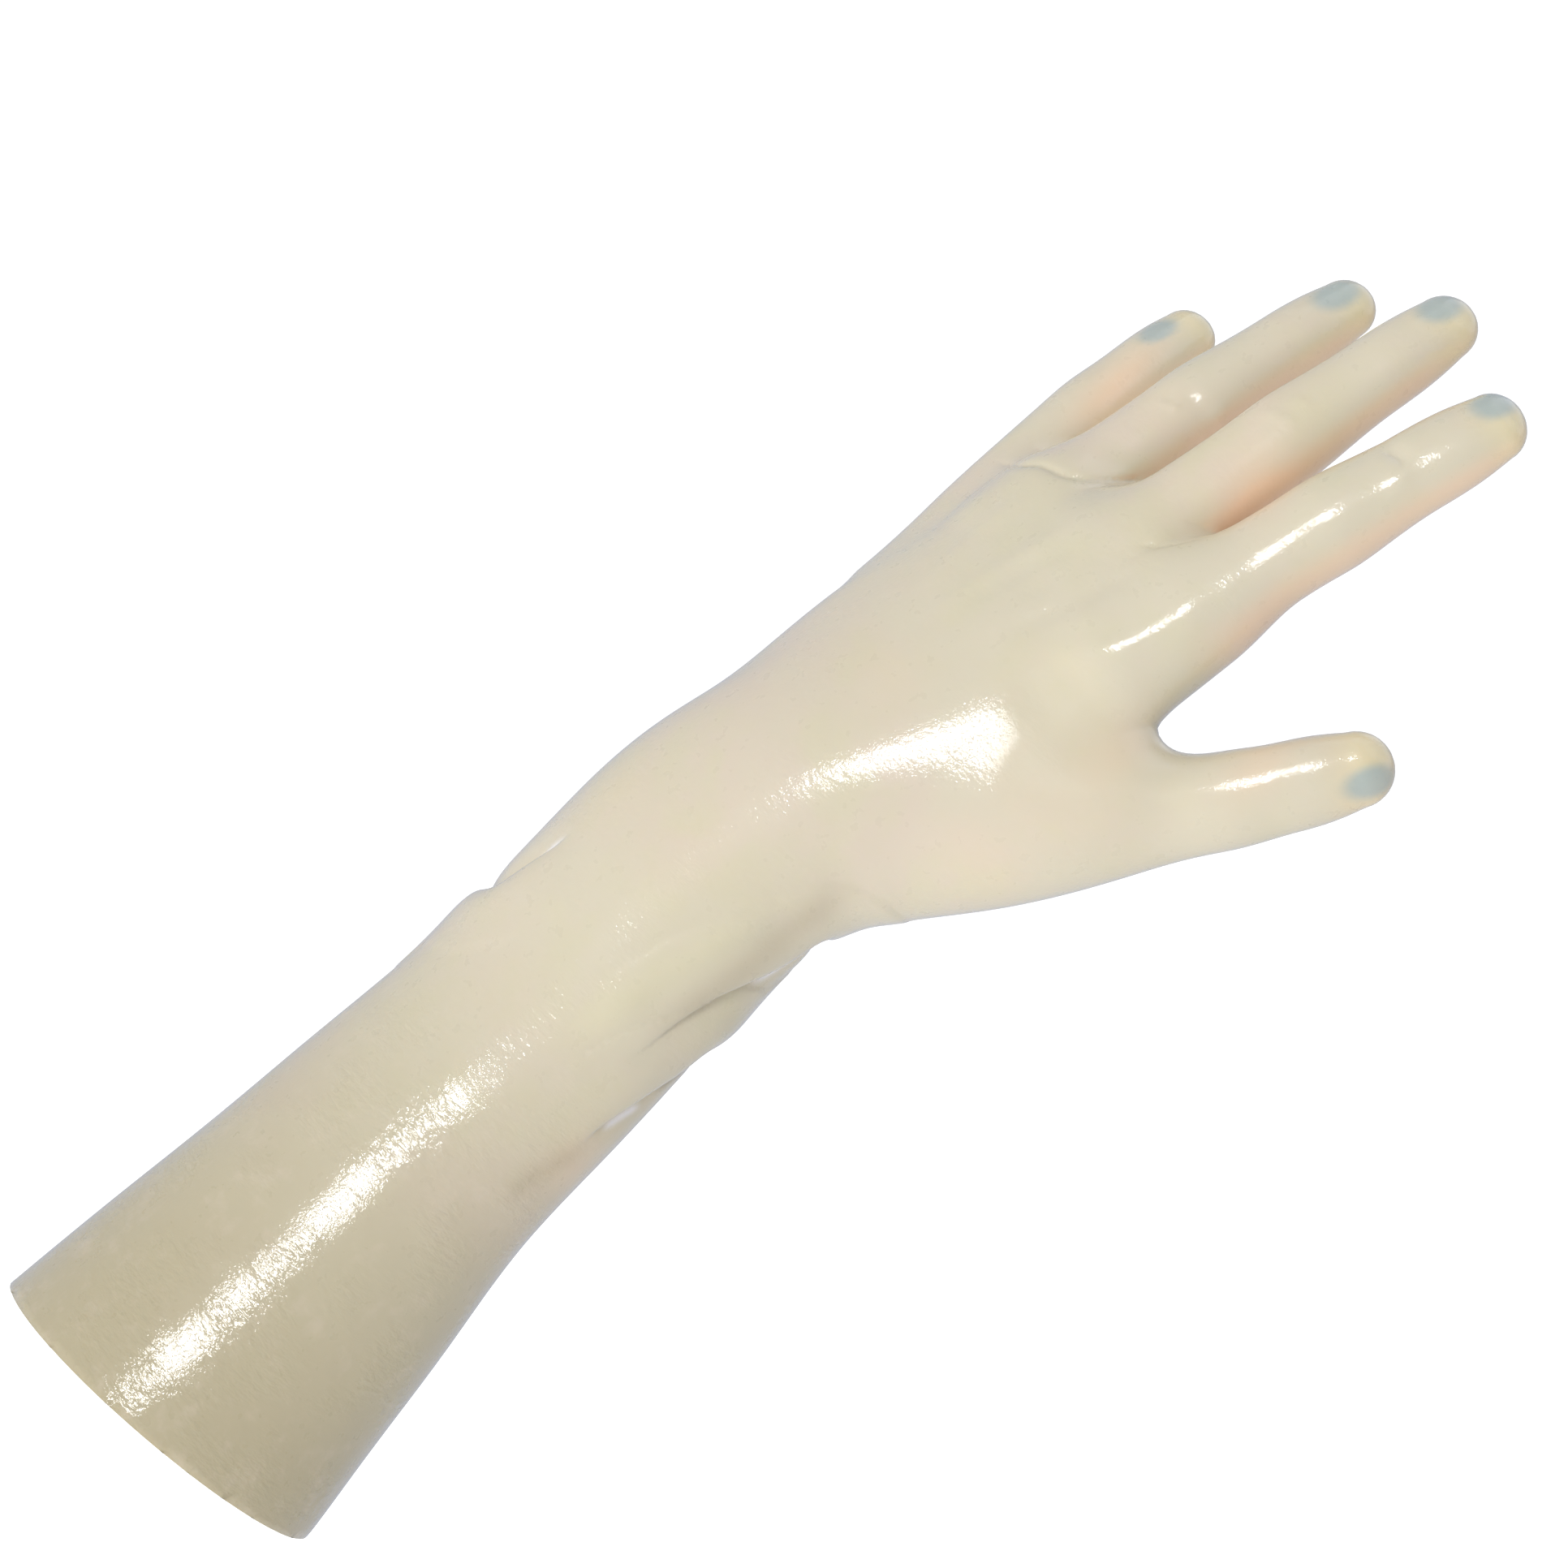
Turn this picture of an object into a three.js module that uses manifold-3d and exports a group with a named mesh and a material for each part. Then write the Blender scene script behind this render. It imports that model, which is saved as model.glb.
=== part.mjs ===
// A long rubber glove for a left hand, in the form that it has when it is worn: an open cuff over the
// forearm, folds at the wrist, a palm, four spread fingers and a thumb. Such a glove is dipped in one
// piece, so it is one hollow solid with an even wall, open at the cuff's mouth.
// Millimetres and degrees. The origin is the middle of the cuff's mouth. +Z runs up the forearm to the
// fingertips, +X points to the thumb's side, and +Y to the palm's side, so the back of the hand faces -Y.
import * as THREE from "three";
import { mergeVertices } from "three/addons/utils/BufferGeometryUtils.js";
import Module from "manifold-3d";

// Driving dimensions
const wall = 1.2; // thickness of the rubber
const cuffLength = 172; // cuff's mouth to wrist
const cuffWidth = 84; // mouth, from the little finger's side to the thumb's side
const cuffDepth = 78; // mouth, from the back to the palm's side
const cuffSlant = 7; // how far the rim's plane climbs across the mouth
const cuffSlantTurn = 40; // the side it climbs to, from the thumb's side towards the palm's
const wristWidth = 65;
const wristDepth = 47;
const palmLength = 86; // wrist to middle knuckle
const palmWidth = 79; // across the knuckles
const palmDepth = 29; // through the knuckles
const leanToThumb = 9; // the hand's tilt against the forearm
const leanToPalm = 3.7;
const bendLength = 36; // the stretch of forearm and hand that takes the tilt
const indexLength = 96; // each finger from its knuckle to its tip, and its width at the knuckle
const indexWidth = 23;
const middleLength = 101;
const middleWidth = 22;
const ringLength = 93.5;
const ringWidth = 20.5;
const littleLength = 94; // this one counts from further down in the palm
const littleWidth = 19.5;
const thumbLength = 105; // from its root in the palm's heel to its tip
const thumbWidth = 33;
const webHeight = 46; // the fold of rubber between thumb and index finger
const webDepth = 15;
const heelWidth = 31; // the ball of the thumb
const heelDepth = 27;

// Fineness of the facets
const armSides = 40;
const digitSides = 12;
const digitRings = 8;
const webRings = 5;
const heelRings = 4;
const capRings = 4;

// The arm and palm as sections up the glove's middle line. In the first table, at is the distance from the
// mouth as a share of the cuff's length, and wide, deep and aside are shares of the mouth's sizes. aside is
// the middle's shift to the thumb's side, square the outline's exponent, and slant its climb to the thumb.
const cuffSections = [
  { at: -0.08, wide: 1.03, deep: 1.03, aside: 0, square: 2, slant: 0 },
  { at: 0, wide: 1, deep: 1, aside: 0, square: 2, slant: 0 },
  { at: 0.14, wide: 0.925, deep: 0.925, aside: -0.01, square: 2, slant: 0 },
  { at: 0.3, wide: 0.85, deep: 0.84, aside: -0.016, square: 2, slant: 0 },
];

// The same up to the wrist, with shares of the cuff's length and of the wrist's sizes.
const wristSections = [
  { at: 0.45, wide: 0.99, deep: 1.25, aside: -0.034, square: 2, slant: 0 },
  { at: 0.6, wide: 0.97, deep: 1.16, aside: -0.026, square: 2, slant: 0 },
  { at: 0.8, wide: 0.98, deep: 1.08, aside: -0.006, square: 2, slant: 0 },
  { at: 1, wide: 1, deep: 1, aside: 0, square: 2.1, slant: 0 },
];

// The same from the wrist on, with shares of the palm's length and sizes.
const palmSections = [
  { at: 0.18, wide: 0.84, deep: 1.36, aside: 0.012, square: 2.2, slant: 0 },
  { at: 0.4, wide: 0.91, deep: 1.2, aside: 0.012, square: 2.3, slant: 0 },
  { at: 0.65, wide: 0.98, deep: 1.08, aside: 0.012, square: 2.4, slant: 0.04 },
  { at: 0.95, wide: 1, deep: 1, aside: 0, square: 2.4, slant: 0.12 },
  { at: 1.12, wide: 0.96, deep: 0.9, aside: -0.01, square: 2.4, slant: 0.2 },
  { at: 1.24, wide: 0.88, deep: 0.7, aside: -0.02, square: 2.3, slant: 0.24 },
  { at: 1.3, wide: 0.78, deep: 0.34, aside: -0.02, square: 2.2, slant: 0.25 },
];

// A table's sections in millimetres, with s the distance from the mouth.
function inMillimetres(sections, start, length, width, depth) {
  return sections.map(({ at, wide, deep, aside, square, slant }) => ({
    s: start + at * length,
    width: wide * width,
    depth: deep * depth,
    aside: aside * width,
    square,
    slant,
  }));
}

const wrist = cuffLength;
const armSections = [
  ...inMillimetres(cuffSections, 0, cuffLength, cuffWidth, cuffDepth),
  ...inMillimetres(wristSections, 0, cuffLength, wristWidth, wristDepth),
  ...inMillimetres(palmSections, wrist, palmLength, palmWidth, palmDepth),
];

// How many rings each stretch of the arm gets, counted up from the last stretch.
const armStretches = [
  { upTo: 0.5 * cuffLength, rings: 6 },
  { upTo: wrist + 0.15 * palmLength, rings: 24 },
  { upTo: wrist + 1.12 * palmLength, rings: 9 },
  { upTo: wrist + 1.3 * palmLength, rings: 4 },
];

// Folds of slack rubber round the wrist. Each runs from, by way of mid, to a place given by its distance
// up the glove as a share of the cuff's length, and its angle round the arm from the thumb's side towards
// the palm's. rise is how far it stands out, as a share of the wrist's depth and less than nothing for a
// valley, and spread how far it reaches to each side, as a share of the wrist's width.
const folds = [
  { from: [0.7, -14], mid: [0.9, 7], to: [1.06, 62], rise: -0.055, spread: 0.085 },
  { from: [0.58, -10], mid: [0.68, 14], to: [0.85, 66], rise: -0.055, spread: 0.085 },
  { from: [0.87, -104], mid: [0.74, -132], to: [0.62, -165], rise: -0.05, spread: 0.085 },
  { from: [0.66, -40], mid: [0.85, -24], to: [1.02, -2], rise: 0.04, spread: 0.1 },
];

// Fingers and thumb. The root is given across, along and down into the palm, as shares of its sizes. splay
// turns the digit to the thumb's side and drop to the palm's side. turn and curl are what it bends that way
// from root to tip.
const digits = [
  {
    length: indexLength,
    width: indexWidth,
    profile: "finger",
    root: { across: 0.275, along: 0.99, down: 0.02 },
    pose: { splay: 3, turn: 1, drop: -1, curl: 6 },
  },
  {
    length: middleLength,
    width: middleWidth,
    profile: "finger",
    root: { across: 0.025, along: 1, down: -0.06 },
    pose: { splay: 0.6, turn: -3, drop: -1, curl: 8 },
  },
  {
    length: ringLength,
    width: ringWidth,
    profile: "finger",
    root: { across: -0.24, along: 0.94, down: -0.04 },
    pose: { splay: -5, turn: 1, drop: 1, curl: 10 },
  },
  {
    length: littleLength,
    width: littleWidth,
    profile: "little",
    root: { across: -0.365, along: 0.62, down: 0.05 },
    pose: { splay: -15.2, turn: 1, drop: 2, curl: 13 },
  },
  {
    length: thumbLength,
    width: thumbWidth,
    profile: "thumb",
    root: { across: 0.27, along: 0.3, down: 0.3 },
    pose: { splay: 38, turn: -18, drop: 5, curl: 3 },
  },
];

// Each digit's half widths along its length, as shares of half its width. The last row starts the round tip.
const profiles = {
  finger: [
    { at: 0, half: 0.98 },
    { at: 0.3, half: 0.95 },
    { at: 0.48, half: 0.91 },
    { at: 0.62, half: 0.85 },
    { at: 0.78, half: 0.79 },
    { at: 0.92, half: 0.7 },
  ],
  little: [
    { at: 0, half: 0.9 },
    { at: 0.25, half: 0.99 },
    { at: 0.45, half: 0.95 },
    { at: 0.6, half: 0.9 },
    { at: 0.82, half: 0.8 },
    { at: 0.93, half: 0.7 },
  ],
  thumb: [
    { at: 0, half: 1 },
    { at: 0.15, half: 0.97 },
    { at: 0.3, half: 0.88 },
    { at: 0.45, half: 0.75 },
    { at: 0.62, half: 0.62 },
    { at: 0.75, half: 0.58 },
    { at: 0.915, half: 0.5 },
  ],
};
const digitDepth = 0.94; // a digit's depth as a share of its width

// The web between thumb and index finger: where its middle runs, in shares of the palm.
const webPath = [
  { across: 0.28, along: 0.86, down: 0.1 },
  { across: 0.45, along: 0.72, down: 0.28 },
  { across: 0.57, along: 0.74, down: 0.4 },
];
const webNarrowing = 0.5; // how much lower it is at the thumb, as a share of its height
const webTurn = 20; // its tilt towards the thumb

// The ball of the thumb: where its middle runs, in shares of the palm.
const heelPath = [
  { across: 0.17, along: 0.08, down: 0.12 },
  { across: 0.25, along: 0.24, down: 0.26 },
  { across: 0.4, along: 0.4, down: 0.36 },
];

const radians = THREE.MathUtils.degToRad;
const up = new THREE.Vector3(0, 0, 1);
const handTilt = new THREE.Vector3(Math.tan(radians(leanToThumb)), Math.tan(radians(leanToPalm)), 1);
const handUp = handTilt.normalize();

// A table's columns as smooth functions of one column.
function smoothTable(rows, key) {
  const columns = Object.keys(rows[0]).filter((column) => column !== key);
  const curve = new THREE.CubicInterpolant(
    rows.map((row) => row[key]),
    rows.flatMap((row) => columns.map((column) => row[column])),
    columns.length,
  );
  return (at) => {
    const values = curve.evaluate(at);
    return Object.fromEntries(columns.map((column, i) => [column, values[i]]));
  };
}

// The middle line at s: its point, and the axes across to the thumb, down to the palm and up the line.
function middleLine(s) {
  const past = THREE.MathUtils.clamp((s - wrist) / bendLength + 0.5, 0, 1);
  const leant = s > wrist + bendLength / 2 ? s - wrist : (past * past * bendLength) / 2;
  const tilt = handUp.clone().sub(up);
  const point = up.clone().multiplyScalar(s).addScaledVector(tilt, leant);
  const along = up.clone().addScaledVector(tilt, past).normalize();
  const palmward = along.clone().cross(new THREE.Vector3(1, 0, 0)).normalize();
  const thumbward = palmward.clone().cross(along);
  return { point, thumbward, palmward, along };
}

// The fold's path as points in millimetres: arc round the wrist, distance up the glove.
const wristRadius = (wristWidth + wristDepth) / 4;
const foldSteps = 12;
const foldEnds = 0.4; // a fold's reach at its ends, as a share of its reach halfway
const foldPaths = folds.map(({ from, mid, to, rise, spread }) => {
  const place = ([at, angle]) => new THREE.Vector2(radians(angle) * wristRadius, at * cuffLength);
  const path = new THREE.SplineCurve([from, mid, to].map(place));
  return { rise: rise * wristDepth, spread: spread * wristWidth, points: path.getPoints(foldSteps) };
});

// How far the folds push the wall out at an angle and a distance up the glove.
function foldRise(angle, s) {
  let rise = 0;
  for (const fold of foldPaths) {
    let nearest = Infinity;
    fold.points.forEach((point, i) => {
      const arc = Math.abs(angle * wristRadius - point.x) % (2 * Math.PI * wristRadius);
      const around = Math.min(arc, 2 * Math.PI * wristRadius - arc);
      const fade = Math.sin((Math.PI * (i + 0.5)) / (foldSteps + 1));
      const reach = THREE.MathUtils.lerp(foldEnds, 1, fade);
      nearest = Math.min(nearest, Math.hypot(around, s - point.y) / reach);
    });
    rise += fold.rise * Math.exp(-((nearest / fold.spread) ** 2));
  }
  return rise;
}

// A closed skin over rings of points that run anticlockwise seen from the last ring's side.
function loft(rings) {
  const sides = rings[0].length;
  const points = rings.flat();
  const first = points.length;
  const middle = (ring) => ring.reduce((sum, p) => sum.add(p), new THREE.Vector3()).divideScalar(sides);
  points.push(middle(rings[0]), middle(rings.at(-1)));
  const index = [];
  for (let j = 0; j < sides; j++) {
    const next = (j + 1) % sides;
    for (let i = 0; i + 1 < rings.length; i++) {
      const [low, high] = [i * sides, (i + 1) * sides];
      index.push(low + j, low + next, high + next, low + j, high + next, high + j);
    }
    const top = (rings.length - 1) * sides;
    index.push(first, next, j, first + 1, top + j, top + next);
  }
  return new THREE.BufferGeometry().setFromPoints(points).setIndex(index);
}

// Angles of a ring's points.
function angles(sides) {
  return Array.from({ length: sides }, (_, j) => (2 * Math.PI * j) / sides);
}

// The arm and palm, drawn in by inset for the hollow.
function armLoft(inset) {
  const section = smoothTable(armSections, "s");
  const stations = [armSections[0].s];
  for (const { upTo, rings } of armStretches) {
    const from = stations.at(-1);
    for (let i = 1; i <= rings; i++) stations.push(THREE.MathUtils.lerp(from, upTo, i / rings));
  }
  stations[stations.length - 1] -= inset;
  const rings = stations.map((s) => {
    const { width, depth, aside, square, slant } = section(s);
    const { point, thumbward, palmward, along } = middleLine(s);
    return angles(armSides).map((angle) => {
      const power = (value) => Math.sign(value) * Math.abs(value) ** (2 / square);
      const across = power(Math.cos(angle)) * (width / 2 - inset);
      const down = power(Math.sin(angle)) * (depth / 2 - inset);
      const stretch = 1 + foldRise(angle, s) / Math.hypot(across, down);
      return point
        .clone()
        .addScaledVector(thumbward, aside + across * stretch)
        .addScaledVector(palmward, down * stretch)
        .addScaledVector(along, slant * across);
    });
  });
  return loft(rings);
}

// A point of the palm, in shares across, along and down.
function inPalm({ across, along, down }) {
  const at = middleLine(wrist + along * palmLength);
  return at.point
    .addScaledVector(at.thumbward, across * palmWidth)
    .addScaledVector(at.palmward, down * palmDepth);
}

// Rings round a curve, closed by round ends. half and deep give the half widths along the first side and
// square to it, from the share of the curve's length.
function tubeLoft(path, half, deep, firstSide, steps) {
  const ring = (share, back, shrink) => {
    const along = path.getTangentAt(share);
    const side = firstSide.clone().addScaledVector(along, -firstSide.dot(along)).normalize();
    const down = along.clone().cross(side);
    const middle = path.getPointAt(share).addScaledVector(along, back);
    return angles(digitSides).map((angle) =>
      middle
        .clone()
        .addScaledVector(side, Math.cos(angle) * half(share) * shrink)
        .addScaledVector(down, Math.sin(angle) * deep(share) * shrink),
    );
  };
  const end = (share, sign) =>
    Array.from({ length: capRings }, (_, i) => {
      const turn = (Math.PI / 2) * ((i + 0.6) / capRings);
      return ring(share, sign * deep(share) * Math.sin(turn), Math.cos(turn));
    });
  const rings = Array.from({ length: steps + 1 }, (_, i) => ring(i / steps, 0, 1));
  return loft([...end(0, -1).reverse(), ...rings, ...end(1, 1)]);
}

// A digit's middle line, from its root to the middle of its round tip.
function digitPath({ length, profile, root, pose: { splay, turn, drop, curl } }) {
  const joints = 5;
  const straight = length * profiles[profile].at(-1).at;
  const { thumbward, palmward, along: forward } = middleLine(wrist + root.along * palmLength);
  const points = [inPalm(root)];
  for (let i = 0; i < joints; i++) {
    const share = (i + 0.5) / joints;
    const direction = forward
      .clone()
      .addScaledVector(thumbward, Math.tan(radians(splay + turn * share)))
      .addScaledVector(palmward, Math.tan(radians(drop + curl * share)))
      .normalize();
    points.push(points.at(-1).clone().addScaledVector(direction, straight / joints));
  }
  return new THREE.CatmullRomCurve3(points);
}

// A finger or the thumb, drawn in by inset for the hollow.
function digitLoft(digit, inset) {
  const rows = profiles[digit.profile];
  const shape = smoothTable(rows, "at");
  const half = (share) => (shape(share * rows.at(-1).at).half * digit.width) / 2 - inset;
  const { thumbward } = middleLine(wrist + digit.root.along * palmLength);
  return tubeLoft(digitPath(digit), half, (share) => digitDepth * half(share), thumbward, digitRings);
}

// The web, a flat tube from the palm to the thumb.
function webLoft(inset) {
  const path = new THREE.CatmullRomCurve3(webPath.map(inPalm));
  const half = (share) => (webHeight / 2) * (1 - webNarrowing * share) - inset;
  const along = handUp.clone().applyAxisAngle(new THREE.Vector3(0, 1, 0), radians(webTurn));
  return tubeLoft(path, half, () => webDepth / 2 - inset, along, webRings);
}

// Everything under the rim's slanting plane.
function belowRim() {
  const size = 4 * (cuffWidth + cuffDepth);
  const turn = radians(cuffSlantTurn);
  return new THREE.BoxGeometry(size, size, size)
    .translate(0, 0, -size / 2)
    .applyMatrix4(
      new THREE.Matrix4().makeRotationAxis(
        new THREE.Vector3(Math.sin(turn), -Math.cos(turn), 0),
        Math.atan(cuffSlant / cuffWidth),
      ),
    );
}

// The ball of the thumb, where the thumb's root runs into the wrist.
function heelLoft(inset) {
  const path = new THREE.CatmullRomCurve3(heelPath.map(inPalm));
  const side = new THREE.Vector3(1, 0, 0);
  return tubeLoft(path, () => heelWidth / 2 - inset, () => heelDepth / 2 - inset, side, heelRings);
}

const wasm = await Module();
wasm.setup();

function toSolid(geometry) {
  const bare = new THREE.BufferGeometry()
    .setAttribute("position", geometry.getAttribute("position"))
    .setIndex(geometry.index);
  const merged = mergeVertices(bare, 1e-4);
  return new wasm.Manifold(
    new wasm.Mesh({
      numProp: 3,
      vertProperties: merged.getAttribute("position").array,
      triVerts: new Uint32Array(merged.index.array),
    }),
  );
}

function toGeometry(solid) {
  const mesh = solid.getMesh();
  const geometry = new THREE.BufferGeometry()
    .setAttribute("position", new THREE.BufferAttribute(mesh.vertProperties, mesh.numProp))
    .setIndex(new THREE.BufferAttribute(mesh.triVerts, 1));
  geometry.computeVertexNormals();
  return geometry;
}

// The whole hand and forearm as one form, drawn in by inset.
function handForm(inset) {
  return [armLoft(inset), webLoft(inset), heelLoft(inset), ...digits.map((digit) => digitLoft(digit, inset))]
    .map(toSolid)
    .reduce((form, piece) => form.add(piece));
}

const rubber = new THREE.MeshStandardMaterial({ color: 0xd8cfb8, roughness: 0.25, metalness: 0 });
const shell = handForm(0).subtract(handForm(wall)).subtract(toSolid(belowRim()));
const glove = new THREE.Mesh(toGeometry(shell), rubber);
glove.name = "glove";

const group = new THREE.Group();
group.add(glove);
export default group;
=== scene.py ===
import math

import bpy
import numpy as np
from mathutils import Matrix, Vector


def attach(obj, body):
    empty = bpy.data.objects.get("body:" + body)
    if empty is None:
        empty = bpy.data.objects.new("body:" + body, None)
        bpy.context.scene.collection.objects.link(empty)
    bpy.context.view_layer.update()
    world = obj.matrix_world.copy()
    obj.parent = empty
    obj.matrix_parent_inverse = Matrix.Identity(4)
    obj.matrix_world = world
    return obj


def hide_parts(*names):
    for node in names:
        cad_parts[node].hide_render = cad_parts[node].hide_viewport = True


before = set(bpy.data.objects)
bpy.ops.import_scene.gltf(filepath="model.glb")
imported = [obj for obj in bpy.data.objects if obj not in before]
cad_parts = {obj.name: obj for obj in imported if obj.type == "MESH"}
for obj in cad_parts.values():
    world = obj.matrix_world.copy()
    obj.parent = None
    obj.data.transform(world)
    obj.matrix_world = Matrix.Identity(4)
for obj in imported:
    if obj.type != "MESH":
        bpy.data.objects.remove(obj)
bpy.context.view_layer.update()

# All shaping is in millimetres in the row frame, and becomes metres when the mesh is made.
MM = 0.001

# Sizes that the part's source names too
CUFF_LENGTH = 172.0
CUFF_WIDTH, CUFF_DEPTH = 84.0, 78.0
CUFF_SLANT, CUFF_SLANT_TURN = 7.0, 40.0
WRIST_WIDTH, WRIST_DEPTH = 65.0, 47.0
PALM_LENGTH, PALM_WIDTH, PALM_DEPTH = 86.0, 79.0, 29.0
LEAN_TO_THUMB, LEAN_TO_PALM = 9.0, 3.7
BEND_LENGTH = 36.0
WALL = 0.9  # the rubber's edge as it looks at the rim

GRID = 1.3  # spacing of the grid that the form is first meshed on
COARSE = 4  # it is first looked at in steps of this many
NEAR = 11.0  # and only worked out this near to the surface
REACH = 20.0  # how far from a digit its form is worked out
FORM_LOW, FORM_HIGH = (-47.0, -43.5, -12.0), (97.0, 43.5, 362.0)  # the box that is meshed
CUT_SLACK = 0.2  # how far below the rim quads are kept, as a share of the grid
INNER_SHARE = 0.14  # share of the outer wall's faces that the inner wall has

# Near the middle of a form its slope goes down to nothing. It is kept above these shares of one over the
# form's size, so that distances there stay small.
LEAST_ARM_SLOPE, LEAST_DIGIT_SLOPE, LEAST_PAD_SLOPE = 0.6, 0.3, 0.2
LEAST_STEEPNESS = 0.05  # the same for moving points onto the whole form

# Two digits run into each other softly where they are clear of the palm, and sharply beside it.
SHARP_BLEND, DIGIT_BLEND, CLEAR_OF_PALM = 0.01, 1.2, 6.0

# The camera stands level with the palm, on the thumb's side of the back, with the arm running up to the
# right. A place in its picture is given in millimetres on the plane through its target: across to the
# thumb's side, and height above the rim.
VIEW_TURN = math.radians(40)
CAMERA_DISTANCE = 1150.0
HALF_FRAME = 164.2
TARGET_ACROSS, TARGET_HEIGHT = -0.4, 185.0
ACROSS_WAY = np.array([math.cos(VIEW_TURN), math.sin(VIEW_TURN), 0.0])
CAMERA_WAY = np.array([math.sin(VIEW_TURN), -math.cos(VIEW_TURN), 0.0])
UP = np.array([0.0, 0.0, 1.0])
TARGET = TARGET_ACROSS * ACROSS_WAY + TARGET_HEIGHT * UP
CAMERA_PLACE = TARGET + CAMERA_DISTANCE * CAMERA_WAY

# Curves and distances


def spline(xs, rows):
    """A smooth curve through rows at xs, as a function of arrays."""
    xs = np.array(xs, float)
    ys = np.array(rows, float)
    n = len(xs)
    gap = np.diff(xs)
    left = np.eye(n)
    right = np.zeros_like(ys)
    for i in range(1, n - 1):
        left[i, i - 1] = gap[i - 1]
        left[i, i] = 2 * (gap[i - 1] + gap[i])
        left[i, i + 1] = gap[i]
        right[i] = 3 * ((ys[i + 1] - ys[i]) / gap[i] - (ys[i] - ys[i - 1]) / gap[i - 1])
    bend = np.linalg.solve(left, right)

    def at(x):
        x = np.clip(np.asarray(x, float), xs[0], xs[-1])
        i = np.clip(np.searchsorted(xs, x) - 1, 0, n - 2)
        t = (x - xs[i])[..., None]
        g = gap[i][..., None]
        slope = (ys[i + 1] - ys[i]) / g - g * (2 * bend[i] + bend[i + 1]) / 3
        return ys[i] + slope * t + bend[i] * t**2 + (bend[i + 1] - bend[i]) / (3 * g) * t**3

    return at


def smooth_min(a, b, k):
    h = np.maximum(k - np.abs(a - b), 0) / k
    return np.minimum(a, b) - h * h * k / 4


def smooth_max(a, b, k):
    return -smooth_min(-a, -b, k)


def smooth_step(x):
    x = np.clip(x, 0, 1)
    return x * x * (3 - 2 * x)


def dot(a, b):
    return np.sum(a * b, axis=-1)


def unit(a):
    return a / np.linalg.norm(a, axis=-1, keepdims=True)


# Arm and palm

HAND_UP = unit(
    np.array([math.tan(math.radians(LEAN_TO_THUMB)), math.tan(math.radians(LEAN_TO_PALM)), 1.0])
)
TILT = HAND_UP - UP


def middle_point(s):
    past = np.clip((s - CUFF_LENGTH) / BEND_LENGTH + 0.5, 0, 1)
    leant = np.where(s > CUFF_LENGTH + BEND_LENGTH / 2, s - CUFF_LENGTH, past**2 * BEND_LENGTH / 2)
    return s[..., None] * UP + leant[..., None] * TILT, unit(UP + past[..., None] * TILT)


def middle_axes(along):
    down = unit(np.cross(along, np.array([1.0, 0.0, 0.0])))
    return np.cross(down, along), down


def arm_coordinates(p):
    """Distance up the middle line, and offsets to the thumb's side and the palm's side."""
    s = p[..., 2].copy()
    for _ in range(3):
        point, along = middle_point(s)
        s += dot(p - point, along)
    point, along = middle_point(s)
    thumbward, palmward = middle_axes(along)
    rel = p - point
    return s, dot(rel, thumbward), dot(rel, palmward)


# Rows: distance up the middle line, width, depth towards the back, depth towards the palm, shift to the
# thumb's side, exponent of the outline.
L, W, D = CUFF_LENGTH, WRIST_WIDTH, WRIST_DEPTH
PL, PW, PD = PALM_LENGTH, PALM_WIDTH, PALM_DEPTH
ARM_ROWS = [
    (-0.08 * L, 1.03 * CUFF_WIDTH, 1.03 * CUFF_DEPTH / 2, 1.03 * CUFF_DEPTH / 2, 0.0, 2.0),
    (0.0, CUFF_WIDTH, CUFF_DEPTH / 2, CUFF_DEPTH / 2, 0.0, 2.0),
    (0.14 * L, 0.935 * CUFF_WIDTH, 0.912 * CUFF_DEPTH / 2, 0.925 * CUFF_DEPTH / 2, -0.01 * CUFF_WIDTH, 2.0),
    (0.3 * L, 0.863 * CUFF_WIDTH, 0.81 * CUFF_DEPTH / 2, 0.81 * CUFF_DEPTH / 2, -0.016 * CUFF_WIDTH, 2.0),
    (0.45 * L, 1.03 * W, 1.19 * D / 2, 1.18 * D / 2, -0.037 * W, 2.0),
    (0.6 * L, 0.99 * W, 1.07 * D / 2, 1.1 * D / 2, -0.025 * W, 2.0),
    (0.8 * L, 0.95 * W, 1.1 * D / 2, 1.05 * D / 2, -0.018 * W, 2.0),
    (L, 0.965 * W, 1.075 * D / 2, 1.0 * D / 2, -0.004 * W, 2.05),
    (L + 0.18 * PL, 0.8 * PW, 1.7 * PD / 2, 1.38 * PD / 2, 0.02 * PW, 2.0),
    (L + 0.4 * PL, 0.85 * PW, 1.55 * PD / 2, 1.22 * PD / 2, 0.035 * PW, 2.0),
    (L + 0.65 * PL, 0.915 * PW, 1.34 * PD / 2, 1.1 * PD / 2, 0.036 * PW, 2.0),
    (L + 0.95 * PL, 0.93 * PW, 1.13 * PD / 2, 1.0 * PD / 2, 0.024 * PW, 2.05),
    (L + 1.12 * PL, 0.93 * PW, 0.97 * PD / 2, 0.9 * PD / 2, 0.006 * PW, 2.15),
    (L + 1.4 * PL, 0.88 * PW, 0.86 * PD / 2, 0.8 * PD / 2, -0.01 * PW, 2.2),
]
arm_table = spline([row[0] for row in ARM_ROWS], [row[1:] for row in ARM_ROWS])

KNUCKLE_LINE = L + 1.27 * PL  # where the palm ends between the fingers
KNUCKLE_SLANT = 0.22  # how much further up it ends on the thumb's side
KNUCKLE_ROUND = 16.0


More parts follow.
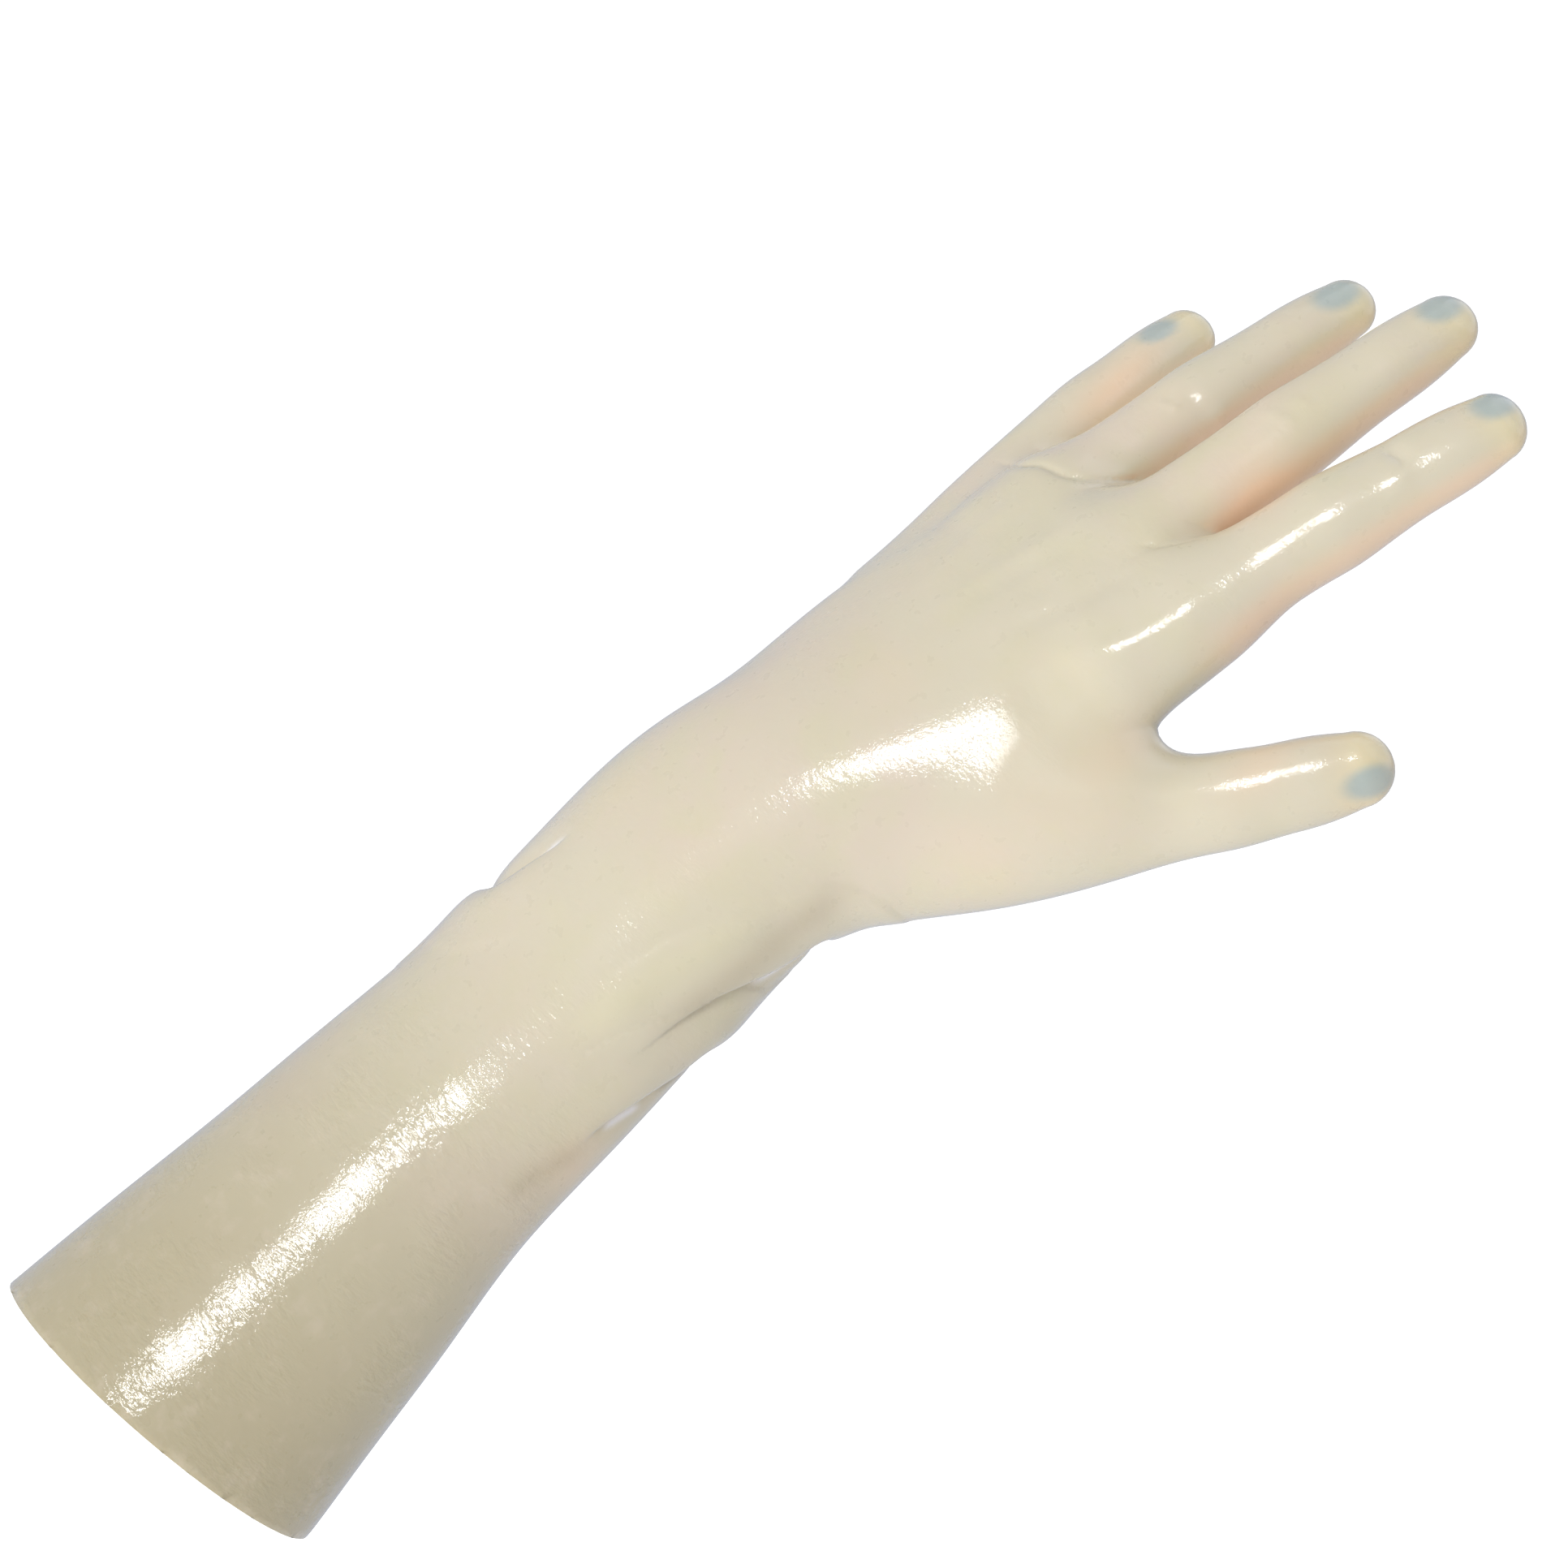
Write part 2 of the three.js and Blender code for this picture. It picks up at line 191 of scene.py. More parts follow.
def arm_distance(p):
    s, across, down = arm_coordinates(p)
    width, back, front, aside, power = np.moveaxis(arm_table(s), -1, 0)
    half = width / 2
    deep = back + (front - back) * smooth_step(down / (back + front) + 0.5)
    x = np.abs(across - aside) / half
    y = np.abs(down) / deep
    q = (x**power + y**power + 1e-9) ** (1 / power)
    slope = np.hypot((x / q) ** (power - 1) / half, (y / q) ** (power - 1) / deep)
    side = (q - 1) / np.maximum(slope, LEAST_ARM_SLOPE / half)
    end = s - KNUCKLE_LINE - KNUCKLE_SLANT * across
    return smooth_max(side, end, KNUCKLE_ROUND)


def in_palm(across, along, down):
    point, axis = middle_point(np.array(L + along * PL))
    thumbward, palmward = middle_axes(axis)
    return point + across * PW * thumbward + down * PD * palmward


# Digits

# Half width and half depth along a digit, as shares of half its width, at shares of its length.
FINGER_FORM = [
    (0.0, 0.99, 0.94),
    (0.2, 0.97, 0.92),
    (0.34, 0.92, 0.86),
    (0.46, 0.9, 0.85),
    (0.53, 0.91, 0.87),
    (0.62, 0.86, 0.8),
    (0.72, 0.8, 0.73),
    (0.78, 0.79, 0.72),
    (0.86, 0.76, 0.67),
    (0.93, 0.68, 0.57),
]
LITTLE_FORM = [
    (0.0, 0.84, 0.78),
    (0.25, 0.87, 0.84),
    (0.45, 0.86, 0.82),
    (0.58, 0.88, 0.82),
    (0.64, 0.89, 0.82),
    (0.74, 0.82, 0.75),
    (0.82, 0.8, 0.73),
    (0.89, 0.76, 0.67),
    (0.94, 0.69, 0.58),
]
THUMB_FORM = [
    (0.0, 1.0, 0.94),
    (0.15, 0.96, 0.9),
    (0.3, 0.87, 0.82),
    (0.45, 0.74, 0.7),
    (0.58, 0.645, 0.6),
    (0.68, 0.635, 0.58),
    (0.76, 0.6, 0.52),
    (0.85, 0.575, 0.48),
    (0.925, 0.5, 0.4),
]


ROOT_CAP = 0.8  # how far the form goes on past a digit's root, as a share of its half width
LINE_JOINTS = 6  # straight steps that a digit's bent line is laid out in


class Digit:
    """A tube along a gently bent line that ends in a rounded tip."""

    def __init__(self, length, width, form, root, splay, turn, drop, curl, blend, roll=0):
        across, along, down = root
        axis = middle_point(np.array(L + along * PL))[1]
        thumbward, palmward = middle_axes(axis)
        self.blend = blend
        self.half = width / 2
        self.straight = length * form[-1][0]
        self.tip = length * (1 - form[-1][0])
        self.form = spline([row[0] / form[-1][0] for row in form], [row[1:] for row in form])
        points = [in_palm(across, along, down)]
        for i in range(LINE_JOINTS):
            share = (i + 0.5) / LINE_JOINTS
            way = unit(
                axis
                + math.tan(math.radians(splay + turn * share)) * thumbward
                + math.tan(math.radians(drop + curl * share)) * palmward
            )
            points.append(points[-1] + way * self.straight / LINE_JOINTS)
        self.line = spline(np.linspace(0, 1, LINE_JOINTS + 1), points)
        self.start = points[0]
        self.end = points[-1]
        roll = math.radians(roll)
        self.side = math.cos(roll) * thumbward + math.sin(roll) * palmward

    def place(self, p):
        """Share of the length, distance past the end, and offsets to the thumb's and the palm's side."""
        chord = self.end - self.start
        t = dot(p - self.start, chord) / dot(chord, chord)
        step = 1e-3
        for _ in range(2):
            tc = np.clip(t, 0, 1)
            c = self.line(tc)
            low, high = np.clip(tc - step, 0, 1), np.clip(tc + step, 0, 1)
            way = (self.line(high) - self.line(low)) / (high - low)[..., None]
            t = tc + dot(p - c, way) / dot(way, way)
        tc = np.clip(t, 0, 1)
        c = self.line(tc)
        low, high = np.clip(tc - step, 0, 1), np.clip(tc + step, 0, 1)
        way = unit(self.line(high) - self.line(low))
        side = unit(self.side - dot(way, self.side)[..., None] * way)
        down = np.cross(way, side)
        rel = p - c
        return tc, dot(rel, way), dot(rel, side), dot(rel, down)

    def distance(self, p):
        low = np.minimum(self.start, self.end) - self.half - REACH
        high = np.maximum(self.start, self.end) + self.half + REACH
        near = ((p > low) & (p < high)).all(-1)
        out = np.full(p.shape[:-1], 2 * REACH)
        out[near] = self.near_distance(p[near])
        return out

    def near_distance(self, p):
        t, past, x, y = self.place(p)
        wide, deep = np.moveaxis(self.form(t), -1, 0) * self.half
        cap = np.where(t >= 1, self.tip, ROOT_CAP * wide)
        past = np.where((t <= 0) | (t >= 1), past, 0)
        q = np.sqrt((x / wide) ** 2 + (y / deep) ** 2 + (past / cap) ** 2 + 1e-9)
        slope = np.sqrt((x / wide**2) ** 2 + (y / deep**2) ** 2 + (past / cap**2) ** 2) / q
        return (q - 1) / np.maximum(slope, LEAST_DIGIT_SLOPE / wide)


DIGITS = {
    "index": Digit(96, 23, FINGER_FORM, (0.303, 0.99, -0.07), 3, 1, -1, 6, 8),
    "middle": Digit(101, 22, FINGER_FORM, (0.04, 1.0, -0.1), -0.3, -4, -1, 8, 7),
    "ring": Digit(93.5, 20.5, FINGER_FORM, (-0.24, 0.94, -0.04), -5, 1, 1, 10, 7),
    "little": Digit(94, 19.5, LITTLE_FORM, (-0.365, 0.62, 0.05), -15.2, 1, 2, 13, 6),
    "thumb": Digit(104, 32, THUMB_FORM, (0.27, 0.315, 0.28), 38, -18, 5, 3, 11, roll=50),
}


def pad_distance(p, centre, sizes, lean):
    """An ellipsoid in the palm, with its long axis leant to the thumb's side by lean degrees."""
    axis = middle_point(np.array(L + centre[1] * PL))[1]
    thumbward, palmward = middle_axes(axis)
    turn = math.radians(lean)
    along = math.cos(turn) * axis + math.sin(turn) * thumbward
    side = math.cos(turn) * thumbward - math.sin(turn) * axis
    rel = p - in_palm(*centre)
    parts = np.stack([dot(rel, side), dot(rel, along), dot(rel, palmward)], -1)
    sizes = np.array(sizes)
    q = np.sqrt(np.sum((parts / sizes) ** 2, -1) + 1e-9)
    slope = np.sqrt(np.sum((parts / sizes**2) ** 2, -1)) / q
    return (q - 1) / np.maximum(slope, LEAST_PAD_SLOPE / sizes.max())


# The ball of the thumb, the pad below the little finger and the web between thumb and index finger:
# place in shares of the palm, half sizes across, along and deep, lean in degrees, blend in millimetres.
PADS = [
    ((0.21, 0.315, 0.25), (13.0, 28.5, 12.5), 26, 11),
    ((-0.26, 0.42, 0.12), (12.5, 36.0, 14.5), -6, 8),
    ((0.45, 0.64, 0.2), (13.0, 23.0, 9.0), 22, 12),
]


def glove_distance(p):
    body = arm_distance(p)
    for centre, sizes, lean, blend in PADS:
        body = smooth_min(body, pad_distance(p, centre, sizes, lean), blend)
    apart = SHARP_BLEND + DIGIT_BLEND * smooth_step(body / CLEAR_OF_PALM)
    form = None
    for digit in DIGITS.values():
        joined = smooth_min(body, digit.distance(p), digit.blend)
        form = joined if form is None else smooth_min(form, joined, apart)
    return form


# Meshing


def mesh_form(low, high):
    """Quads round the form's surface: one point in each grid cell that the surface passes."""
    axes = [np.arange(low[i], high[i] + GRID, GRID) for i in range(3)]
    grid = np.stack(np.meshgrid(*axes, indexing="ij"), -1)
    shape = grid.shape[:3]
    coarse = grid[::COARSE, ::COARSE, ::COARSE]
    rough = glove_distance(coarse)
    value = np.repeat(np.repeat(np.repeat(rough, COARSE, 0), COARSE, 1), COARSE, 2)
    value = value[: shape[0], : shape[1], : shape[2]].copy()
    near = np.abs(value) < NEAR
    value[near] = glove_distance(grid[near])
    inside = value < 0
    cells = tuple(n - 1 for n in shape)
    count = np.zeros(cells, int)
    total = np.zeros(cells + (3,))
    hits = np.zeros(cells)
    corner = (slice(0, -1), slice(1, None))
    for i in (0, 1):
        for j in (0, 1):
            for k in (0, 1):
                count += inside[corner[i], corner[j], corner[k]]
    for axis in range(3):
        one = [slice(None)] * 3
        two = [slice(None)] * 3
        one[axis] = slice(0, -1)
        two[axis] = slice(1, None)
        a, b = value[tuple(one)], value[tuple(two)]
        cross = inside[tuple(one)] != inside[tuple(two)]
        share = np.where(cross, a / np.where(cross, a - b, 1), 0)
        point = grid[tuple(one)].copy()
        point[..., axis] += share * GRID
        others = [n for n in range(3) if n != axis]
        for i in (0, 1):
            for j in (0, 1):
                pick = [slice(None)] * 3
                pick[others[0]] = corner[i]
                pick[others[1]] = corner[j]
                total += np.where(cross[tuple(pick)][..., None], point[tuple(pick)], 0)
                hits += cross[tuple(pick)]
    active = (count > 0) & (count < 8)
    number = np.full(cells, -1)
    number[active] = np.arange(active.sum())
    points = total[active] / hits[active][:, None]
    quads = []
    for axis in range(3):
        u, v = [n for n in range(3) if n != axis]
        one = [slice(1, -1)] * 3
        two = [slice(1, -1)] * 3
        one[axis] = slice(0, -1)
        two[axis] = slice(1, None)
        first, second = inside[tuple(one)], inside[tuple(two)]
        for outward in (True, False):
            found = np.argwhere((first != second) & (first == outward))
            if not len(found):
                continue
            base = found + 1
            base[:, axis] = found[:, axis]
            ring = []
            for du, dv in ((-1, -1), (0, -1), (0, 0), (-1, 0)):
                cell = base.copy()
                cell[:, u] += du
                cell[:, v] += dv
                ring.append(number[cell[:, 0], cell[:, 1], cell[:, 2]])
            ring = np.stack(ring, -1)
            flip = outward == (axis == 1)
            quads.append(ring[:, ::-1] if flip else ring)
    return points, np.concatenate(quads)


def gradient(p, step=0.35):
    out = np.empty_like(p)
    for i in range(3):
        shift = np.zeros(3)
        shift[i] = step
        out[..., i] = glove_distance(p + shift) - glove_distance(p - shift)
    return out / (2 * step)


def vertex_mean(points, pairs):
    """The mean of each point's neighbours."""
    n = len(points)
    total = np.zeros_like(points)
    count = np.zeros(n)
    for a, b in ((0, 1), (1, 0)):
        for i in range(3):
            total[:, i] += np.bincount(pairs[:, a], points[pairs[:, b], i], n)
        count += np.bincount(pairs[:, a], minlength=n)
    return total / np.maximum(count, 1)[:, None]


def edge_pairs(quads):
    pairs = np.concatenate([quads[:, [i, (i + 1) % 4]] for i in range(4)])
    return np.unique(np.sort(pairs, 1), axis=0)


def onto_form(points):
    """The points moved onto the form along its slope, and the outward direction there."""
    slope = gradient(points)
    steepness = np.maximum(dot(slope, slope), LEAST_STEEPNESS)
    return points - (glove_distance(points) / steepness)[:, None] * slope, unit(slope)


def settle(points, pairs, rounds=3, relax=0.5, last_rounds=2):
    """Evens the mesh out along the surface and puts it back on the form."""
    for _ in range(rounds):
        points, outward = onto_form(points)
        move = vertex_mean(points, pairs) - points
        move -= dot(move, outward)[:, None] * outward
        points = points + relax * move
    for _ in range(last_rounds):
        points = onto_form(points)[0]
    return points


def rim_height(p):
    turn = math.radians(CUFF_SLANT_TURN)
    return (p[..., 0] * math.cos(turn) + p[..., 1] * math.sin(turn)) * CUFF_SLANT / CUFF_WIDTH


# Places on the glove

MARCH_STEPS, MARCH_SHARE = 60, 0.8  # a ray goes on by this share of its distance from the form each time
BEFORE_TARGET = 75.0  # rays start this far before the plane through the camera's target
BESIDE_ARM = 70.0  # or this far out from the middle of the arm


def march(start, way, length):
    """Where rays that start outside the form first meet it."""
    gone = np.zeros(len(start))
    for _ in range(MARCH_STEPS):
        gone = np.minimum(gone + MARCH_SHARE * glove_distance(start + gone[:, None] * way), length)
    return start + gone[:, None] * way


def seen(places):
    """Points of the form that are seen at places in the camera's picture."""
    places = np.array(places, float)
    target = places[:, :1] * ACROSS_WAY + places[:, 1:2] * UP
    way = unit(target - CAMERA_PLACE)
    start = target - way * BEFORE_TARGET / np.abs(way @ CAMERA_WAY)[:, None]
    return march(start, way, 2 * BEFORE_TARGET)


def round_arm(places):
    """Points of the form at angles round the arm, in degrees from +X to +Y, and heights."""
    places = np.array(places, float)
    angle = np.radians(places[:, 0])
    middle, along = middle_point(places[:, 1])
    thumbward, palmward = middle_axes(along)
    out = np.cos(angle)[:, None] * thumbward + np.sin(angle)[:, None] * palmward
    return march(middle + BESIDE_ARM * out, -out, BESIDE_ARM)


def smooth_path(rows, spacing=1.5):
    """A smooth curve through rows, with points about the spacing apart."""
    rows = np.array(rows, float)
    gone = np.concatenate([[0], np.cumsum(np.linalg.norm(np.diff(rows, axis=0), axis=1))])
    return spline(gone, rows)(np.linspace(0, gone[-1], max(3, int(gone[-1] / spacing))))


def by_path(points, normals, path, reach):
    """Points near a path: which they are, share of its length, and distance off it, left of it positive."""
    low, high = path.min(0) - reach, path.max(0) + reach
    near = np.flatnonzero(((points > low) & (points < high)).all(1))
    place, outward = points[near], normals[near]
    steps = np.diff(path, axis=0)
    lengths = np.linalg.norm(steps, axis=1)
    before = np.cumsum(lengths) - lengths
    far = np.full(len(near), np.inf)
    share = np.zeros(len(near))
    across = np.zeros(len(near))
    for first, step, length, gone in zip(path, steps, lengths, before):
        t = np.clip(dot(place - first, step) / length**2, 0, 1)
        off = place - first - t[:, None] * step
        distance = np.linalg.norm(off, axis=1)
        closer = distance < far
        far = np.where(closer, distance, far)
        share = np.where(closer, (gone + t * length) / lengths.sum(), share)
        left = dot(off, np.cross(outward, step / length))
        across = np.where(closer, np.copysign(distance, left), across)
    keep = far < reach
    return near[keep], share[keep], across[keep]


def fade(share, start, end):
    """One along a path, and down to nothing over a share of it at either end."""
    return smooth_step(share / start) * smooth_step((1 - share) / end)


# Folds, creases and dents

# The rubber hangs loose round the wrist in three slanted folds. Each has a roll on the viewer's side that
# laps over a valley. Each starts out of sight, at angles round the arm and heights, and goes on where it is
# seen, at places in the camera's picture. Then come the roll's rise, the valley's depth, how far the roll
# laps over, and the shares of its length over which it fades.
WRIST_FOLDS = [
    {
        "round": [(68, 190), (48, 180), (33, 172.5)],
        "seen": [
            (28.0, 167.5), (26.8, 162.0), (25.3, 156.0), (22.3, 147.0), (19.9, 138.0), (18.6, 129.0),
            (16.8, 117.0),
        ],
        "rise": 1.5, "depth": 3.0, "lap": 1.9, "fades": (0.2, 0.45),
    },
    {
        "round": [(78, 157), (56, 147), (34, 138)],
        "seen": [(27.2, 133.5), (26.6, 128.0), (25.4, 121.5), (24.0, 111.0), (22.8, 99.0)],
        "rise": 1.5, "depth": 3.2, "lap": 2.0, "fades": (0.25, 0.3),
    },
    {
        "round": [(-200, 96), (-178, 110), (-157, 122.0)],
        "seen": [(-27.6, 127.5), (-26.4, 134.5), (-25.6, 141.0), (-24.4, 148.0)],
        "rise": 1.2, "depth": 2.8, "lap": 1.7, "fades": (0.3, 0.25),
    },
]
FOLD_SPREAD = 16.0
ROLL_TOP, ROLL_EDGE = 4.0, 1.0  # from the valley to the roll's top, and how soon the valley ends under it
VALLEY_WIDTH, VALLEY_POWER = 4.0, 1.3
LAP_MIDDLE, LAP_WIDTH = 1.5, 2.2

# Soft ridges and sharp creases on the side that is seen. Places are in the camera's picture.
# Height is the rise at the middle, below nothing for a crease; width is how far it spreads to each side.
RIDGES = [
    {
        "places": [(17.4, 168.4), (14.2, 153), (11.8, 143.5), (9.4, 134), (7.5, 125), (5.8, 116)],
        "height": 0.6, "width": 4.0,
    },
    {"places": [(24, 172), (19, 160), (15.5, 148), (12, 136), (10, 126)], "height": -0.7, "width": 3.5},
    {
        "places": [(18, 241), (23.4, 247.5), (28.5, 254), (31.5, 261), (34.5, 269)],
        "height": 0.45, "width": 3.0,
    },
    {"places": [(4, 230), (10, 248), (15.5, 262), (20, 274)], "height": 0.25, "width": 2.6},
    {"places": [(-4, 228), (-1, 246), (2.5, 260), (6, 272)], "height": 0.4, "width": 2.4},
    {"places": [(-9, 232), (-9, 246), (-8, 258), (-6, 266)], "height": 0.35, "width": 2.4},
    {"places": [(10, 238), (16, 256), (20.4, 270)], "height": -0.4, "width": 2.2},
    {"places": [(-1, 236), (4, 254), (8.5, 266)], "height": -0.35, "width": 2.0},
    {"places": [(14.8, 311.5), (18.4, 312.6), (22.6, 314.6)], "height": 0.3, "width": 0.9},
    {"places": [(17.2, 317.2), (19.4, 318), (22, 320)], "height": 0.25, "width": 0.8},
    {"places": [(-2.5, 296.5), (0.5, 298), (3, 300)], "height": 0.25, "width": 0.9},
]
CREASES = [
    {
        "places": [
            (-18.5, 262.5), (-16.8, 264), (-14.3, 265.8), (-9.9, 270.2), (-5.5, 271.9), (-1.9, 274.3),
            (3.8, 279.4), (8.1, 283.6),
        ],
        "height": -1.1, "width": 1.3,
    },
    {
        "places": [(26.7, 286.6), (24.9, 283.6), (22.2, 279), (20.4, 276), (16.2, 271.8)],
        "height": -0.8, "width": 1.3,
    },
    {"places": [(26.7, 286.6), (23.4, 285), (18.9, 282.9)], "height": -0.35, "width": 0.9},
    {"places": [(38.6, 323), (41.8, 324.3), (44.5, 323.6)], "height": -0.5, "width": 1.4},
]
RIDGE_REACH = 3  # how far a ridge or crease is worked out, in its widths
CREASE_SHARPNESS = 1.6
LINE_FADE = 0.25

# Round dents and bumps: place in the picture, half sizes across and along, height. The first ones are small
# enough to need the finer mesh.
SPOTS = [
    ((3.8, 302.2), (2.6, 1.8), -0.2),
    ((9.4, 304.2), (2.2, 2.4), 0.5),
    ((40.8, 324.6), (2.6, 2.0), -0.6),
    ((45.6, 321.5), (2.4, 3.2), 0.4),
    ((34.3, 269.3), (4.5, 5.5), 0.7),
    ((19.5, 276), (4.5, 5), 0.5),
    ((3, 268), (4, 5), 0.4),
    ((24.5, 236.5), (7, 6), -0.6),
]
FINE_SPOTS = 4
SPOT_DEPTH = 8.0  # how far a spot reaches away from the camera
FINE_BY_FOLD, FINE_BY_CREASE, FINE_BY_SPOT = 6.0, 3.5, 6.0


def fold_path(fold):
    return smooth_path(np.concatenate([round_arm(fold["round"]), seen(fold["seen"])]))


def line_path(line):
    return seen(smooth_path(line["places"]))


def fold_relief(points, normals, fold):
    """Moves of the points that one wrist fold makes."""
    path = fold_path(fold)
    near, share, across = by_path(points, normals, path, FOLD_SPREAD)
    strength = fade(share, *fold["fades"])
    roll = np.maximum(-across, 0)
    far = np.maximum(across, 0)
    height = fold["rise"] * roll / ROLL_TOP * np.exp(1 - roll / ROLL_TOP)
    height -= fold["depth"] * np.exp(-roll / ROLL_EDGE)
    height = np.where(across < 0, height, -fold["depth"] * np.exp(-((far / VALLEY_WIDTH) ** VALLEY_POWER)))
    lap = np.where(across < 0, fold["lap"] * np.exp(-(((roll - LAP_MIDDLE) / LAP_WIDTH) ** 2)), 0)
    step = unit(np.gradient(path, axis=0))
    step = step[np.clip((share * (len(path) - 1)).astype(int), 0, len(path) - 1)]
    left = unit(np.cross(normals[near], step))
    move = np.zeros_like(points)
    move[near] = (strength * height)[:, None] * normals[near] + (strength * lap)[:, None] * left
    return move


def line_relief(points, normals, line, sharp):
    """Moves of the points that one ridge or crease makes."""
    near, share, across = by_path(points, normals, line_path(line), RIDGE_REACH * line["width"])
    off = np.abs(across) / line["width"]
    profile = np.exp(-CREASE_SHARPNESS * off) if sharp else np.exp(-(off**2))
    move = np.zeros_like(points)
    move[near] = (line["height"] * profile * fade(share, LINE_FADE, LINE_FADE))[:, None] * normals[near]
    return move


def spot_relief(points, normals, place, sizes, height):
    """Moves of the points that one dent or bump makes."""
    middle = seen([place])[0]
    rel = points - middle
    off = (dot(rel, ACROSS_WAY) / sizes[0]) ** 2 + (rel[:, 2] / sizes[1]) ** 2
    off += (dot(rel, CAMERA_WAY) / SPOT_DEPTH) ** 2
    return (height * np.exp(-off))[:, None] * normals


def relief(points, normals):
    move = np.zeros_like(points)
    for fold in WRIST_FOLDS:
        move += fold_relief(points, normals, fold)
    for line in RIDGES:
        move += line_relief(points, normals, line, sharp=False)
    for line in CREASES:
        move += line_relief(points, normals, line, sharp=True)
    for spot in SPOTS:
        move += spot_relief(points, normals, *spot)
    return points + move


def by_sharp_relief(points, normals):
    """Which points lie near a fold or a crease, where the mesh has to be finer."""
    picked = np.zeros(len(points), bool)
    for fold in WRIST_FOLDS:
        picked[by_path(points, normals, fold_path(fold), FINE_BY_FOLD)[0]] = True
    for line in CREASES:
        picked[by_path(points, normals, line_path(line), FINE_BY_CREASE)[0]] = True
    for place, _, _ in SPOTS[:FINE_SPOTS]:
        picked |= np.linalg.norm(points - seen([place])[0], axis=1) < FINE_BY_SPOT
    return picked


def refine(points, quads, picked):
    """Splits the picked quads in four. The quads beside them take the new edge points as corners."""
    number = len(points)
    added = []
    middles = {}
    split = quads[picked]
    for quad in split.tolist():
        for a, b in zip(quad, quad[1:] + quad[:1]):
            key = (min(a, b), max(a, b))
            if key not in middles:
                middles[key] = number + len(added)
                added.append((points[a] + points[b]) / 2)
    faces = []
    for quad in split.tolist():
        centre = number + len(added)
        added.append(points[quad].mean(0))
        sides = [middles[min(a, b), max(a, b)] for a, b in zip(quad, quad[1:] + quad[:1])]
        faces += [[quad[i], sides[i], centre, sides[i - 1]] for i in range(4)]
    for quad in quads[~picked].tolist():
        face = []
        for a, b in zip(quad, quad[1:] + quad[:1]):
            face.append(a)
            middle = middles.get((min(a, b), max(a, b)))
            if middle is not None:
                face.append(middle)
        faces.append(face)
    return np.concatenate([points, np.array(added)]), faces


points, quads = mesh_form(FORM_LOW, FORM_HIGH)
points = settle(points, edge_pairs(quads))

# The mesh is cut off at the rim: quads below it go, and the edge points move onto it.
above = points[:, 2] - rim_height(points)
quads = quads[(above[quads] > -CUT_SLACK * GRID).all(1)]
used = np.unique(quads)
renumber = np.full(len(points), -1)
renumber[used] = np.arange(len(used))
points = points[used]
quads = renumber[quads]

normals = unit(gradient(points))
sharp = by_sharp_relief(points, normals)
points, faces = refine(points, quads, sharp[quads].any(1))
points, normals = onto_form(points)


def edge_loop(faces):
    """Points of the mesh's open edge, in order of their number."""
    sides = {}
    for face in faces:
        for a, b in zip(face, face[1:] + face[:1]):
            key = (min(a, b), max(a, b))
            sides[key] = sides.get(key, 0) + 1
    return np.array(sorted({point for side, uses in sides.items() if uses == 1 for point in side}))


def round_order(points, loop):
    return loop[np.argsort(np.arctan2(points[loop, 1], points[loop, 0]))]


unfolded = points
points = relief(points, normals)
rim = edge_loop(faces)
points[rim, 2] = rim_height(points[rim])

# Object


def make_object(name, points, faces):
    mesh = bpy.data.meshes.new(name)
    mesh.from_pydata((points * MM).tolist(), [], faces)
    mesh.update()
    mesh.shade_smooth()
    obj = bpy.data.objects.new(name, mesh)
    bpy.context.scene.collection.objects.link(obj)
    return obj


def inner_wall(outer, share):
    """The wall's inner face: a copy with a share of the outer one's faces, turned and set in by the wall."""
    copy = make_object("inner", *outer)
    modifier = copy.modifiers.new("fewer", "DECIMATE")
    modifier.ratio = share
    mesh = copy.evaluated_get(bpy.context.evaluated_depsgraph_get()).data
    count = len(mesh.vertices)
    places = np.empty(count * 3)
    outward = np.empty(count * 3)
    mesh.vertices.foreach_get("co", places)
    mesh.vertex_normals.foreach_get("vector", outward)
    faces = [list(face.vertices)[::-1] for face in mesh.polygons]
    old = copy.data
    bpy.data.objects.remove(copy)
    bpy.data.meshes.remove(old)
    return places.reshape(-1, 3) / MM - WALL * outward.reshape(-1, 3), faces


def rim_strip(points, outer_loop, inner_loop):
    """Triangles across the wall's cut edge, between two loops round the arm."""
    loops = [round_order(points, np.array(loop)).tolist() for loop in (outer_loop, inner_loop)]
    angles = [np.arctan2(points[loop, 1], points[loop, 0]) for loop in loops]
    angles = [np.append(angle, angle[0] + 2 * math.pi) for angle in angles]
    at = [0, 0]
    faces = []
    while at[0] < len(loops[0]) or at[1] < len(loops[1]):
        outer, inner = (loops[i][at[i] % len(loops[i])] for i in (0, 1))
        outer_left = at[0] < len(loops[0])
        inner_left = at[1] < len(loops[1])
        if outer_left and (not inner_left or angles[0][at[0] + 1] < angles[1][at[1] + 1]):
            at[0] += 1
            faces.append([outer, inner, loops[0][at[0] % len(loops[0])]])
        else:
            at[1] += 1
            faces.append([outer, inner, loops[1][at[1] % len(loops[1])]])
    return faces


inner_points, inner_faces = inner_wall((points, faces), INNER_SHARE)
inner_rim = edge_loop(inner_faces)
inner_points[inner_rim, 2] = rim_height(inner_points[inner_rim])
count = len(points)
inner_faces = [[point + count for point in face] for face in inner_faces]
both = np.concatenate([points, inner_points])
strip = rim_strip(both, rim, inner_rim + count)
glove = make_object("latex_glove", both, faces + inner_faces + strip)

# Tints that follow the form

